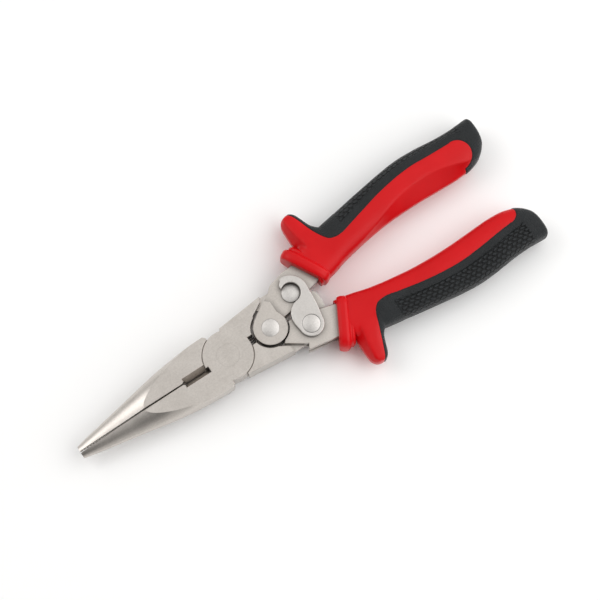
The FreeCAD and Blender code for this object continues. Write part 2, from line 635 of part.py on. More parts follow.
def collar_ring(side):
    """The collar at the front of a grip: a rounded slab square to the handle."""
    depth, half = D["collar_depth"], D["collar_half"]
    box = Part.makeBox(depth, COLLAR_WIDTH, 2 * half, Vector(0, 0, D["head_thick"] / 2 - half))
    box = box.makeFillet(min(COLLAR_CORNER, depth * 0.45), [e for e in box.Edges if is_along(e, 0)])
    box = box.makeFillet(COLLAR_LIP, edges_of_end(box))
    turn = Rotation(Vector(0, 0, 1), COLLAR_SLANT)
    box.Placement = Placement(Vector(D["grip_start"] + 2.2, 5.6, 0), turn)
    return box if side > 0 else box.mirror(Vector(0, 0, 0), Vector(0, 1, 0))


def is_along(edge, axis):
    """Whether a straight edge runs along the axis."""
    first, last = edge.Vertexes[0].Point, edge.Vertexes[-1].Point
    return abs((last - first).normalize()[axis]) > 0.99


def edges_of_end(box):
    """The edges of the front and rear faces of a collar."""
    ends = [f for f in box.Faces if abs(f.normalAt(0, 0).x) > 0.99]
    return [edge for face in ends for edge in face.Edges]


def fin_blade(side):
    """The thumb fin that stands out from the front of a grip."""
    reach, start = D["fin_reach"], D["grip_start"]
    stations = [
        (start + 0.7, 12, reach - 2.2, 4.6), (start + 2.4, 12, reach - 0.4, 5.6),
        (start + 4.6, 12, reach, 6.0), (start + 6.6, 12, reach - 0.9, 6.2),
        (start + 8.6, 12, reach - 4.0, 6.5), (start + 11, 13, reach - 9.0, 6.8),
        (start + 13.5, 14, reach - 11.6, 7.0), (start + 17, 14, reach - 12.8, 7.2),
    ]
    rings = [grip_ring(x, low, high, half, side) for x, low, high, half in stations]
    return Part.makeLoft(rings, True, True)


def finished(piece):
    """Labels a sub-part and returns it."""
    piece.Label = piece.Name
    return piece


nodes = [make_jaw("lower_jaw", 1), make_jaw("upper_jaw", -1)]
nodes += make_rivets()
nodes += [make_upper_handle(), make_lower_handle(), make_latch(), make_spring()]
doc.recompute()
nodes += make_grip("upper_grip", 1, D["upper_cover_edge"])
nodes += make_grip("lower_grip", -1, D["lower_cover_edge"])
doc.recompute()

broken = [o.Label for o in doc.Objects if "Invalid" in o.State or "Error" in o.State]
if broken:
    raise SystemExit(f"failed features: {broken}")
os.makedirs("parts", exist_ok=True)
for node in nodes:
    shape = finished(node).Shape
    if shape.isNull() or not shape.isValid():
        raise SystemExit(f"bad shape: {node.Label}")
    if len(shape.Solids) != 1:
        raise SystemExit(f"{node.Label} has {len(shape.Solids)} solids")
for node in nodes:
    node.Shape.exportStep(f"parts/{node.Label}.step")
    box = node.Shape.BoundBox
    print(f"{node.Label:20s} {node.Shape.Volume:9.1f} mm3  x {box.XMin:7.2f} {box.XMax:7.2f}"
          f"  y {box.YMin:7.2f} {box.YMax:7.2f}  z {box.ZMin:6.2f} {box.ZMax:6.2f}")
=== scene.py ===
# %% [markdown]
# # Needle nose pliers
# A pair of compound-action pliers: two forged jaws in a lap joint, two steel handles that work
# the jaws through link rivets, a small hooked latch, and soft two-colour grips. The steel comes
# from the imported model, which fixes every size. The grips' finished surfaces are made here.

import math

import bpy
import numpy as np
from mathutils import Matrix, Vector


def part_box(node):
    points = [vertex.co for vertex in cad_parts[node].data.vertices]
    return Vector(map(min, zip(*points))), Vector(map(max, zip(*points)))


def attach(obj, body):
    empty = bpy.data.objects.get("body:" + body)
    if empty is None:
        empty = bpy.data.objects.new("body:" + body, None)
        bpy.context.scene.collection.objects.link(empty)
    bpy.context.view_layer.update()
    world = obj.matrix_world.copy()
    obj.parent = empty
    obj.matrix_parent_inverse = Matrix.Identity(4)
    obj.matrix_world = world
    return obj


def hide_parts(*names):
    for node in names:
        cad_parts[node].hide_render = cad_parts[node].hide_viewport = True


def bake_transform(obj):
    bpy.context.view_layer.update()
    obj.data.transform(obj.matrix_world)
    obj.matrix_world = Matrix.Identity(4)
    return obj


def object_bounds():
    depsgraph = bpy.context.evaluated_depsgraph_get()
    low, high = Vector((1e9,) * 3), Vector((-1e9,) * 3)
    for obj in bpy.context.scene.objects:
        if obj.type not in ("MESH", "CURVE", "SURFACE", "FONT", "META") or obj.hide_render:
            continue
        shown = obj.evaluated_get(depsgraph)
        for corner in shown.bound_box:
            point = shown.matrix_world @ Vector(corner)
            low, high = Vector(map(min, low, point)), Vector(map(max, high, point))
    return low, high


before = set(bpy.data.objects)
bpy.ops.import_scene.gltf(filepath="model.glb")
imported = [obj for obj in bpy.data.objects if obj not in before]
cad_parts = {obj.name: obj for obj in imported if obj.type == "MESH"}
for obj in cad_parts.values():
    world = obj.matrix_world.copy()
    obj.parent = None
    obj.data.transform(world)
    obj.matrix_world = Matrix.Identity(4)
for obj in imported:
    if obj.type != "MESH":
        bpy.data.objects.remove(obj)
cad_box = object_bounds()
MM = 0.001
print("model box in mm:", [[round(c / MM, 1) for c in corner] for corner in cad_box])

# %% [markdown]
# The room is a pale floor under soft boxes. Satin steel shows whatever is around it, so the
# lights are large: small lights would leave hard dots on the rivets. The other way is one
# environment picture, but plain lights are easier to read and to change.

# %% Floor, lights, world and camera
HEAD_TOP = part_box("lower_jaw")[1][2]
REST_LEVEL = cad_box[0][2]


def make_floor(size=6.0):
    """A flat square under the tool, big enough to fill every view."""
    half = size / 2
    corners = [(-half, -half, 0), (half, -half, 0), (half, half, 0), (-half, half, 0)]
    mesh = bpy.data.meshes.new("floor")
    mesh.from_pydata([(x, y, REST_LEVEL - 0.0002) for x, y, z in corners], [], [(0, 1, 2, 3)])
    floor = bpy.data.objects.new("floor", mesh)
    bpy.context.collection.objects.link(floor)
    material = bpy.data.materials.new("pale_floor")
    material.use_nodes = True
    shader = material.node_tree.nodes["Principled BSDF"]
    shader.inputs["Base Color"].default_value = (0.98, 0.98, 0.98, 1)
    shader.inputs["Roughness"].default_value = 0.75
    mesh.materials.append(material)


def soft_box(name, place, size, power, aim=(0.04, 0.0, 0.0)):
    """A square area light at place, turned to face aim."""
    light = bpy.data.lights.new(name, "AREA")
    light.shape = "SQUARE"
    light.size = size
    light.energy = power
    lamp = bpy.data.objects.new(name, light)
    lamp.location = place
    lamp.rotation_euler = (Vector(aim) - Vector(place)).to_track_quat("-Z", "Y").to_euler()
    bpy.context.collection.objects.link(lamp)


make_floor()
soft_box("key", (-0.40, 0.62, 0.80), 0.60, 1.9)
soft_box("fill", (0.75, -0.35, 0.70), 1.40, 8.0)


def studio_world():
    """A grey dome, brighter above, with one dark patch like a black card beside the lights:
    brightness follows the height and the angle to the patch."""
    world = bpy.data.worlds.new("studio")
    world.use_nodes = True
    nodes, links = world.node_tree.nodes, world.node_tree.links
    direction = nodes.new("ShaderNodeTexCoord").outputs["Generated"]
    height = nodes.new("ShaderNodeSeparateXYZ")
    links.new(direction, height.inputs["Vector"])
    band = nodes.new("ShaderNodeValToRGB")
    stops = [(0.0, 0.50), (0.25, 0.74), (0.55, 0.80), (0.80, 0.84), (1.0, 0.86)]
    while len(band.color_ramp.elements) < len(stops):
        band.color_ramp.elements.new(0.5)
    for element, (at, level) in zip(band.color_ramp.elements, stops):
        element.position = at
        element.color = (level, level * 0.99, level * 0.975, 1)
    links.new(height.outputs["Z"], band.inputs["Fac"])
    towards = nodes.new("ShaderNodeVectorMath")
    towards.operation = "DOT_PRODUCT"
    towards.inputs[1].default_value = (-0.44, -0.42, 0.79)
    links.new(direction, towards.inputs[0])
    patch = nodes.new("ShaderNodeMapRange")
    patch.interpolation_type = "SMOOTHSTEP"
    patch.inputs["From Min"].default_value = 0.74
    patch.inputs["From Max"].default_value = 1.0
    patch.inputs["To Min"].default_value = 1.0
    patch.inputs["To Max"].default_value = 0.10
    links.new(towards.outputs["Value"], patch.inputs["Value"])
    links.new(band.outputs["Color"], nodes["Background"].inputs["Color"])
    links.new(patch.outputs["Result"], nodes["Background"].inputs["Strength"])
    return world


bpy.context.scene.world = studio_world()
bpy.context.scene.view_settings.view_transform = "Standard"

CAMERA_TURN = math.radians(-33.4)
CAMERA_LIFT = math.radians(78.0)
CAMERA_DISTANCE = 0.75
AIM = Vector((0.0395, 0.0032, HEAD_TOP))

camera_data = bpy.data.cameras.new("camera")
camera_data.lens = 103.0
camera_data.sensor_width = 36.0
camera = bpy.data.objects.new("camera", camera_data)
back = Vector((
    math.sin(CAMERA_TURN) * math.cos(CAMERA_LIFT),
    -math.cos(CAMERA_TURN) * math.cos(CAMERA_LIFT),
    math.sin(CAMERA_LIFT),
))
camera.location = AIM + back * CAMERA_DISTANCE
camera.rotation_euler = (-back).to_track_quat("-Z", "Y").to_euler()
bpy.context.collection.objects.link(camera)
bpy.context.scene.camera = camera

# %% [markdown]
# Every finish starts from a few effects that repeat, so each of them is a node group: fine
# marks drawn out along one direction, and a soft cloudy variation. The groups put out plain
# values, and the shader that uses them stays in each material.


# %% Shared effects as node groups
def new_group(name, inputs, outputs):
    """An empty shader node group with float or vector sockets."""
    group = bpy.data.node_groups.new(name, "ShaderNodeTree")
    for label, kind, value in inputs:
        socket = group.interface.new_socket(name=label, in_out="INPUT", socket_type=kind)
        if kind == "NodeSocketFloat":
            socket.default_value = value
    for label, kind in outputs:
        group.interface.new_socket(name=label, in_out="OUTPUT", socket_type=kind)
    start = group.nodes.new("NodeGroupInput")
    end = group.nodes.new("NodeGroupOutput")
    return group, start, end


def grain_group():
    """Noise stretched along X: the marks that a polishing belt leaves. Value runs 0 to 1."""
    group, start, end = new_group(
        "drawn_grain",
        [("Vector", "NodeSocketVector", None), ("Along", "NodeSocketFloat", 120.0),
         ("Across", "NodeSocketFloat", 2600.0)],
        [("Value", "NodeSocketFloat")],
    )
    nodes, links = group.nodes, group.links
    scales = nodes.new("ShaderNodeCombineXYZ")
    links.new(start.outputs["Along"], scales.inputs["X"])
    links.new(start.outputs["Across"], scales.inputs["Y"])
    links.new(start.outputs["Across"], scales.inputs["Z"])
    stretch = nodes.new("ShaderNodeVectorMath")
    stretch.operation = "MULTIPLY"
    links.new(start.outputs["Vector"], stretch.inputs[0])
    links.new(scales.outputs["Vector"], stretch.inputs[1])
    noise = nodes.new("ShaderNodeTexNoise")
    noise.inputs["Scale"].default_value = 1.0
    noise.inputs["Detail"].default_value = 3.0
    links.new(stretch.outputs["Vector"], noise.inputs["Vector"])
    links.new(noise.outputs["Fac"], end.inputs["Value"])
    return group


def cloud_group():
    """Even noise of a chosen size, pushed towards its middle. Value runs 0 to 1."""
    group, start, end = new_group(
        "soft_cloud",
        [("Vector", "NodeSocketVector", None), ("Scale", "NodeSocketFloat", 200.0),
         ("Low", "NodeSocketFloat", 0.3), ("High", "NodeSocketFloat", 0.7)],
        [("Value", "NodeSocketFloat")],
    )
    nodes, links = group.nodes, group.links
    noise = nodes.new("ShaderNodeTexNoise")
    noise.inputs["Detail"].default_value = 4.0
    links.new(start.outputs["Vector"], noise.inputs["Vector"])
    links.new(start.outputs["Scale"], noise.inputs["Scale"])
    spread = nodes.new("ShaderNodeMapRange")
    links.new(noise.outputs["Fac"], spread.inputs["Value"])
    links.new(start.outputs["Low"], spread.inputs["From Min"])
    links.new(start.outputs["High"], spread.inputs["From Max"])
    links.new(spread.outputs["Result"], end.inputs["Value"])
    return group


def leaf_group():
    """Raised leaves in rows, leaning alternately: 1 - |2u|^1.6 - |2v|^2 in each leaf's own
    place, smoothed. The vector is the place in millimetres: along, then round the grip."""
    group, start, end = new_group(
        "leaf_rows",
        [("Vector", "NodeSocketVector", None), ("Pitch", "NodeSocketFloat", 1.5),
         ("Length", "NodeSocketFloat", 2.8), ("Lean", "NodeSocketFloat", 0.9)],
        [("Value", "NodeSocketFloat")],
    )
    nodes, links = group.nodes, group.links

    def calc(operation, *operands):
        node = nodes.new("ShaderNodeMath")
        node.operation = operation
        for socket, operand in zip(node.inputs, operands):
            if isinstance(operand, (int, float)):
                socket.default_value = operand
            else:
                links.new(operand, socket)
        return node.outputs["Value"]

    parts = nodes.new("ShaderNodeSeparateXYZ")
    links.new(start.outputs["Vector"], parts.inputs["Vector"])
    rows = calc("DIVIDE", parts.outputs["Y"], start.outputs["Pitch"])
    v = calc("SUBTRACT", calc("FRACT", rows), 0.5)
    odd = calc("MODULO", calc("ABSOLUTE", calc("FLOOR", rows)), 2.0)
    lean = calc("MULTIPLY", calc("SUBTRACT", 1.0, calc("MULTIPLY", odd, 2.0)), v)
    slid = calc("ADD", parts.outputs["X"], calc("MULTIPLY", lean, start.outputs["Lean"]))
    along = calc("ADD", calc("DIVIDE", slid, start.outputs["Length"]), calc("MULTIPLY", odd, 0.5))
    u = calc("SUBTRACT", calc("FRACT", along), 0.5)
    far_u = calc("POWER", calc("MULTIPLY", calc("ABSOLUTE", u), 2.0), 1.6)
    far_v = calc("POWER", calc("MULTIPLY", calc("ABSOLUTE", v), 2.0), 2.0)
    leaf = nodes.new("ShaderNodeMapRange")
    leaf.interpolation_type = "SMOOTHSTEP"
    leaf.inputs["From Max"].default_value = 0.6
    links.new(calc("SUBTRACT", calc("SUBTRACT", 1.0, far_u), far_v), leaf.inputs["Value"])
    links.new(leaf.outputs["Result"], end.inputs["Value"])
    return group


GRAIN = grain_group()
CLOUD = cloud_group()
LEAVES = leaf_group()


def place_group(material, group, vector, **values):
    """One use of a group in a material, with its own values."""
    node = material.node_tree.nodes.new("ShaderNodeGroup")
    node.node_tree = group
    material.node_tree.links.new(vector, node.inputs["Vector"])
    for label, value in values.items():
        node.inputs[label].default_value = value
    return node.outputs["Value"]


def new_material(name, roughness, metallic=0.0):
    """A material with its shader, its links and the Object coordinates to hang patterns on."""
    material = bpy.data.materials.new(name)
    material.use_nodes = True
    shader = material.node_tree.nodes["Principled BSDF"]
    shader.inputs["Roughness"].default_value = roughness
    shader.inputs["Metallic"].default_value = metallic
    place = material.node_tree.nodes.new("ShaderNodeTexCoord")
    return material, shader, place.outputs["Object"]


def blend_colour(material, factor, low, high):
    """A colour between low and high."""
    mix = material.node_tree.nodes.new("ShaderNodeMix")
    mix.data_type = "RGBA"
    mix.inputs["A"].default_value = (*low, 1)
    mix.inputs["B"].default_value = (*high, 1)
    material.node_tree.links.new(factor, mix.inputs["Factor"])
    return mix.outputs["Result"]


def stretch_value(material, value, low, high):
    """A 0 to 1 value put between low and high."""
    node = material.node_tree.nodes.new("ShaderNodeMapRange")
    node.inputs["To Min"].default_value = low
    node.inputs["To Max"].default_value = high
    material.node_tree.links.new(value, node.inputs["Value"])
    return node.outputs["Result"]


def add_values(material, first, second, share):
    """first times share plus second times what is left."""
    node = material.node_tree.nodes.new("ShaderNodeMix")
    node.data_type = "FLOAT"
    node.inputs["Factor"].default_value = 1.0 - share
    material.node_tree.links.new(first, node.inputs["A"])
    material.node_tree.links.new(second, node.inputs["B"])
    return node.outputs["Result"]


def in_the_open(material, distance, low=0.0):
    """1 on open faces, falling to low in gaps and corners narrower than distance metres: a mask
    for painted shade in the base colour.
    """
    node = material.node_tree.nodes.new("ShaderNodeAmbientOcclusion")
    node.samples = 8
    node.inputs["Distance"].default_value = distance
    return stretch_value(material, node.outputs["AO"], low, 1.0)


def scale_colour(material, colour, factor):
    """The colour times a value."""
    node = material.node_tree.nodes.new("ShaderNodeVectorMath")
    node.operation = "SCALE"
    material.node_tree.links.new(colour, node.inputs[0])
    material.node_tree.links.new(factor, node.inputs["Scale"])
    return node.outputs["Vector"]


def bump(material, shader, height, depth):
    """Feeds a 0 to 1 height, depth metres deep, to the shader's normal."""
    node = material.node_tree.nodes.new("ShaderNodeBump")
    node.inputs["Strength"].default_value = 1.0
    node.inputs["Distance"].default_value = depth
    material.node_tree.links.new(height, node.inputs["Height"])
    material.node_tree.links.new(node.outputs["Normal"], shader.inputs["Normal"])


# %% [markdown]
# The steel is forged, belt ground, tumbled and nickel plated: bright but satin, with faint
# marks along the tool and a cloudy change in roughness where the tumbling wore unevenly.


# %% Steel finishes
def satin_steel(name, dark, light, smooth, rough, along=120.0, across=2600.0, painted_shade_low=0.16):
    """Plated steel: base colour and roughness drift, fine drawn marks catch the light, and gaps
    and corners get painted shade: the base colour goes darker there, down to a set share of the
    open colour."""
    material, shader, place = new_material(name, smooth, metallic=1.0)
    grain = place_group(material, GRAIN, place, Along=along, Across=across)
    cloud = place_group(material, CLOUD, place, Scale=140.0, Low=0.15, High=0.85)
    speckle = place_group(material, CLOUD, place, Scale=1500.0, Low=0.3, High=0.72)
    tone = add_values(material, cloud, add_values(material, grain, speckle, 0.45), 0.35)
    links = material.node_tree.links
    colour = blend_colour(material, tone, dark, light)
    # painted shade: ambient occlusion darkens the base colour in gaps, recesses and corners
    colour = scale_colour(material, colour, in_the_open(material, 0.0030, painted_shade_low))
    links.new(colour, shader.inputs["Base Color"])
    worn = add_values(material, grain, cloud, 0.45)
    links.new(stretch_value(material, worn, smooth, rough), shader.inputs["Roughness"])
    bump(material, shader, add_values(material, grain, speckle, 0.4), 0.000010)
    return material


# the jaws' last value is a light painted shade: gaps and corners go down to 0.85 of the open
# colour
JAW_STEEL = satin_steel(
    "jaw_steel", (0.48, 0.445, 0.41), (0.71, 0.67, 0.63), 0.28, 0.40, painted_shade_low=0.85
)
HANDLE_STEEL = satin_steel(
    "handle_steel", (0.47, 0.435, 0.40), (0.66, 0.62, 0.58), 0.34, 0.46, along=160.0
)
LATCH_STEEL = satin_steel(
    "latch_steel", (0.53, 0.505, 0.48), (0.70, 0.675, 0.65), 0.34, 0.46, along=900.0, across=900.0
)
RIVET_STEEL = satin_steel(
    "rivet_steel", (0.50, 0.48, 0.46), (0.76, 0.735, 0.71), 0.40, 0.52, along=700.0, across=700.0
)
SPRING_STEEL = satin_steel("spring_steel", (0.12, 0.115, 0.11), (0.22, 0.21, 0.20), 0.3, 0.45)

FINISHES = {
    "upper_jaw": JAW_STEEL,
    "lower_jaw": JAW_STEEL,
    "main_pivot_rivet": JAW_STEEL,
    "hub_rivet": RIVET_STEEL,
    "upper_link_rivet": RIVET_STEEL,
    "lower_link_rivet": RIVET_STEEL,
    "upper_handle_core": HANDLE_STEEL,
    "lower_handle_core": HANDLE_STEEL,
    "lock_latch": LATCH_STEEL,
    "opening_spring": SPRING_STEEL,
}
for node, material in FINISHES.items():
    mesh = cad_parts[node].data
    mesh.materials.clear()
    mesh.materials.append(material)

# %% [markdown]
# The grips are two shots of plastic: a firm red body, and a black rubber cover moulded over its
# outside. The red has a soft sheen and almost no grain. The rubber is matte, with a fine leather
# texture between the raised leaves.


# %% Plastic finishes
def red_plastic():
    """Satin red: colour drifts slightly, with a very fine moulded grain."""
    material, shader, place = new_material("grip_red", 0.34)
    cloud = place_group(material, CLOUD, place, Scale=60.0, Low=0.3, High=0.7)
    grain = place_group(material, CLOUD, place, Scale=3200.0, Low=0.3, High=0.7)
    links = material.node_tree.links
    links.new(
        blend_colour(material, cloud, (0.56, 0.0020, 0.0045), (0.62, 0.0030, 0.0060)),
        shader.inputs["Base Color"],
    )
    links.new(stretch_value(material, cloud, 0.30, 0.38), shader.inputs["Roughness"])
    shader.inputs["Specular IOR Level"].default_value = 0.22
    bump(material, shader, grain, 0.000012)
    return material


def black_rubber():
    """Matte rubber: slightly blue black, with painted shade between the raised leaves and a
    painted highlight on their tops, duller between them, with a leathery grain. Outside the leafy
    region the height stays level."""
    material, shader, place = new_material("grip_black", 0.6)
    cloud = place_group(material, CLOUD, place, Scale=90.0, Low=0.3, High=0.7)
    grain = place_group(material, CLOUD, place, Scale=1900.0, Low=0.35, High=0.65)
    links = material.node_tree.links
    spread = material.node_tree.nodes.new("ShaderNodeUVMap")
    spread.uv_map = "leaves"
    leaves = place_group(material, LEAVES, spread.outputs["UV"])
    region = material.node_tree.nodes.new("ShaderNodeAttribute")
    region.attribute_name = "leafy"
    raised = material.node_tree.nodes.new("ShaderNodeMix")
    raised.data_type = "FLOAT"
    raised.inputs["A"].default_value = 0.55
    links.new(region.outputs["Fac"], raised.inputs["Factor"])
    links.new(leaves, raised.inputs["B"])
    height = raised.outputs["Result"]
    # painted shade and highlight: the leaf height sets the base colour, dark in the crevices and
    # lighter on the leaf tops, with some random cloud mixed in
    tone = add_values(material, height, cloud, 0.75)
    links.new(
        blend_colour(material, tone, (0.0020, 0.0028, 0.0034), (0.0190, 0.0225, 0.0250)),
        shader.inputs["Base Color"],
    )
    worn = add_values(material, height, cloud, 0.7)
    links.new(stretch_value(material, worn, 0.52, 0.34), shader.inputs["Roughness"])
    shader.inputs["Specular IOR Level"].default_value = 0.30
    bump(material, shader, add_values(material, height, grain, 0.90), 0.0019)
    return material


RED = red_plastic()
BLACK = black_rubber()

# %% [markdown]
# A grip seen from above is a long S that swells at the palm and ends square. Its section is a
# soft rectangle. Its inner edges are planed off along the palm, widely on the upper grip only.
# The outline is two smooth curves through a few places along the handle, so the section is known
# anywhere between them.


# %% Outline of a grip, in millimetres
MID = HEAD_TOP / MM / 2
GRIP = {
    "x": np.array([51.6, 54, 58, 62, 66, 72, 80, 90, 100, 110, 120, 130, 138, 143, 146.1, 147.5,
                   148.1]),
    "inner": np.array([4.4, 4.7, 5.5, 6.5, 7.7, 9.0, 10.3, 11.5, 12.0, 12.0, 11.6, 11.4, 12.4,
                       14.6, 17.5, 19.8, 22.4]),
    "outer": np.array([24.2, 24.8, 25.4, 26.0, 26.8, 27.8, 29.2, 30.8, 32.3, 33.3, 33.0, 32.0,
                       31.7, 31.8, 32.0, 31.8, 30.8]),
    "half": np.array([6.9, 7.0, 7.1, 7.2, 7.4, 7.6, 7.8, 7.9, 8.0, 8.0, 7.9, 7.8, 7.7, 7.5, 7.1,
                      6.6, 5.8]),
    "plane": np.array([0, 0, 0, 0, 0.1, 0.4, 1.5, 3.3, 5.9, 7.2, 7.6, 5.4, 2.4, 0.6, 0.3, 0.3,
                       0.3]),
}
# how much of the plane's width the upper and the lower grip have
PLANE_SHARE = {1: 1.0, -1: 0.15}
BAR_LIP = 1.6
FIN_LIP = 2.2


def smooth_curve(knots, values, at):
    """Cubic through the knots with slopes from their neighbours (Catmull-Rom), at any place."""
    slopes = np.gradient(values, knots)
    n = np.clip(np.searchsorted(knots, at) - 1, 0, len(knots) - 2)
    span = knots[n + 1] - knots[n]
    u = np.clip((at - knots[n]) / span, 0, 1)
    start = (1 + 2 * u) * (1 - u) ** 2 * values[n] + u * (1 - u) ** 2 * span * slopes[n]
    end = u ** 2 * (3 - 2 * u) * values[n + 1] + u ** 2 * (u - 1) * span * slopes[n + 1]
    return start + end


def soft_section(turn, power):
    """A unit superellipse: cosine and sine raised to power, with their signs kept."""
    c, s = np.cos(turn), np.sin(turn)
    return np.sign(c) * np.abs(c) ** power, np.sign(s) * np.abs(s) ** power


def grid_object(name, points):
    """A closed object from a grid of points: rows along, columns around, ends capped."""
    rows, columns = points.shape[:2]
    index = np.arange(rows * columns).reshape(rows, columns)
    after = np.roll(index, -1, axis=1)
    quads = np.stack([index[:-1], index[1:], after[1:], after[:-1]], axis=-1).reshape(-1, 4)
    faces = quads.tolist() + [index[0].tolist(), index[-1][::-1].tolist()]
    mesh = bpy.data.meshes.new(name)
    mesh.from_pydata((points.reshape(-1, 3) * MM).tolist(), [], faces)
    mesh.update()
    piece = bpy.data.objects.new(name, mesh)
    bpy.context.collection.objects.link(piece)
    return piece


def grip_bar(name, side):
    """The long part of a grip: sections across X between the inner and outer curves, and
    each section's inner corners cut back by a slope that rises over the plane width."""
    along = np.linspace(GRIP["x"][0], GRIP["x"][-1], 150)
    inner, outer, half, plane = (
        smooth_curve(GRIP["x"], GRIP[key], along)[:, None]
        for key in ("inner", "outer", "half", "plane")
    )
    c, s = soft_section(np.linspace(0, 2 * np.pi, 120, endpoint=False), power=0.62)
    y = (inner + outer) / 2 + (outer - inner) / 2 * c
    z = half * s
    sharpest = 0.2
    slope = (half - BAR_LIP) / np.maximum(plane * PLANE_SHARE[side], sharpest)
    rise = BAR_LIP + (y - inner) * slope
    z = np.sign(z) * np.minimum(np.abs(z), rise)
    x = np.broadcast_to(along[:, None], y.shape)
    return grid_object(name, np.stack([x, side * y, MID + z], axis=-1))


FIN = {
    "y": np.array([16, 20, 23, 25, 27, 29, 31.5, 34, 36, 37.5, 38.4, 38.85]),
    "front": np.array([51.0, 50.9, 50.8, 50.7, 50.6, 50.6, 50.6, 50.7, 51.0, 51.8, 52.9, 54.1]),
    "rear": np.array([76, 72, 69, 66.2, 63.8, 62.1, 60.9, 60.0, 59.2, 58.3, 57.2, 56.2]),
    "half": np.array([7.0, 7.0, 6.9, 6.7, 6.5, 6.3, 6.1, 5.8, 5.5, 5.0, 4.4, 3.8]),
    "facet": np.array([4.0, 4.2, 4.2, 3.9, 3.5, 3.1, 2.7, 2.3, 1.9, 1.5, 1.2, 1.0]),
}


def thumb_fin(name, side):
    """The fin: slices across Y between its front and rear edges, from the neck to the tip,
    and each slice's front corners cut back by a slope that rises over the facet width."""
    y = np.linspace(FIN["y"][0], FIN["y"][-1], 90)
    front, rear, half, facet = (
        smooth_curve(FIN["y"], FIN[key], y)[:, None] for key in ("front", "rear", "half", "facet")
    )
    c, s = soft_section(np.linspace(0, 2 * np.pi, 96, endpoint=False), power=0.55)
    x = (front + rear) / 2 + (rear - front) / 2 * c
    z = half * s
    rise = FIN_LIP + (x - front) / facet * (half - FIN_LIP)
    z = np.sign(z) * np.minimum(np.abs(z), rise)
    y = np.broadcast_to(y[:, None], x.shape)
    return grid_object(name, np.stack([x, side * y, MID + z], axis=-1))


# %% [markdown]
# The bar and the fin are one moulding, so they have to flow into each other. They are joined,
# wrapped in an even skin by the voxel remesher and smoothed a little, which rounds the inside
# corner as a mould does. Modelling that corner by hand would take far more faces to say the same.


# %% One skin from several solids
def merged_skin(name, pieces, voxel, rounds):
    """The pieces' outer skin as one smooth mesh."""
    for piece in pieces:
        piece.select_set(True)
    with bpy.context.temp_override(
        active_object=pieces[0], object=pieces[0], selected_editable_objects=pieces
    ):
        bpy.ops.object.join()
    whole = pieces[0]
    whole.name = name
    remesh = whole.modifiers.new("skin", "REMESH")
    remesh.mode = "VOXEL"
    remesh.voxel_size = voxel * MM
    remesh.use_smooth_shade = True
    soften = whole.modifiers.new("soften", "SMOOTH")
    soften.factor = 0.5
    soften.iterations = rounds
    graph = bpy.context.evaluated_depsgraph_get()
    mesh = bpy.data.meshes.new_from_object(whole.evaluated_get(graph))
    old = whole.data
    whole.modifiers.clear()
    whole.data = mesh
    bpy.data.meshes.remove(old)
    mesh.name = name
    return whole


def vertices_of(piece):
    """Vertex places in millimetres and unit normals, as arrays."""
    count = len(piece.data.vertices)
    place = np.empty(count * 3)
    normal = np.empty(count * 3)
    piece.data.vertices.foreach_get("co", place)
    piece.data.vertex_normals.foreach_get("vector", normal)
    return place.reshape(-1, 3) / MM, normal.reshape(-1, 3)


def put_vertices(piece, place):
    """Writes vertex places in millimetres back to a mesh."""
    piece.data.vertices.foreach_set("co", (place * MM).ravel())
    piece.data.update()


def smooth_step(value, low, high):
    """0 below low, 1 above high, with a smooth S between."""
    u = np.clip((value - low) / (high - low), 0, 1)
    return u * u * (3 - 2 * u)


# %% [markdown]
# The cover's edge is a line on the top and bottom faces. Its distance inside the cover says how
# far the rubber stands out: a little proud inside, and sunk below the red outside, so the two
# skins cross in one crisp line. The leaves are not in the mesh: it only carries where they are,
# and the rubber's own finish raises them. Faces fine enough for them would be far more.


# %% Cover edge and the leafy region
SPLIT = {
    "upper": (np.array([50, 53, 55, 56.3, 57.3, 58.8, 60.5, 62.7, 64.4, 67.7, 71, 76.5, 83, 95.7,
                        113.3, 123.6, 134]),
              np.array([44, 41.0, 39.2, 37.9, 36.2, 32.3, 26.9, 22.2, 19.6, 17.9, 17.8, 19.1,
                        20.8, 24.0, 26.2, 25.8, 25.6])),
    "lower": (np.array([50, 53, 55, 56.7, 58.2, 59.8, 61.8, 63.6, 66.1, 69.8, 78, 87.4, 97,
                        107.2, 118, 129.9, 137]),
              np.array([44, 41.5, 39.5, 37.6, 34.2, 30.3, 25.0, 20.1, 16.9, 15.9, 17.3, 19.2,
                        20.6, 21.3, 20.7, 19.4, 18.8])),
}
# centre along, centre across and radius of the red inlay's rounded end
INLAY_END = {"upper": (134.0, 19.5, 6.3), "lower": (136.2, 14.6, 4.4)}

RED_SINK = 0.5
RUBBER_BURIED = 0.9
RUBBER_PROUD = 0.25
LEAF_BED = 0.15
LEAF_MARGIN = (3.6, 4.2)
LEAF_START = (73.0, 74.0)
LEAF_END = (139.5, 141.0)
PALM_RADIUS = 9.5


def cover_depth(x, y, side_name):
    """How far a place is inside the cover, in millimetres: past the split line, or past the
    rounded end of the red inlay, a circle at its last stretch."""
    knots, values = SPLIT[side_name]
    edge = smooth_curve(knots, values, x)
    slope = smooth_curve(knots, values, x + 0.5) - smooth_curve(knots, values, x - 0.5)
    past_edge = (y - edge) / np.sqrt(1 + slope ** 2)
    end_x, end_y, end_radius = INLAY_END[side_name]
    past_end = np.hypot(x - end_x, y - end_y) - end_radius
    return np.where(x > end_x, past_end, past_edge)


def mark_leaves(piece, along, around, region):
    """Stores the place of every corner, along and round the grip in millimetres, as the UV
    map "leaves", and how far each vertex belongs to the leafy region as "leafy"."""
    mesh = piece.data
    corner = np.empty(len(mesh.loops), dtype=np.int64)
    mesh.loops.foreach_get("vertex_index", corner)
    layer = mesh.uv_layers.new(name="leaves")
    layer.data.foreach_set("uv", np.stack([along[corner], around[corner]], axis=-1).ravel())
    leafy = mesh.attributes.new("leafy", "FLOAT", "POINT")
    leafy.data.foreach_set("value", region)


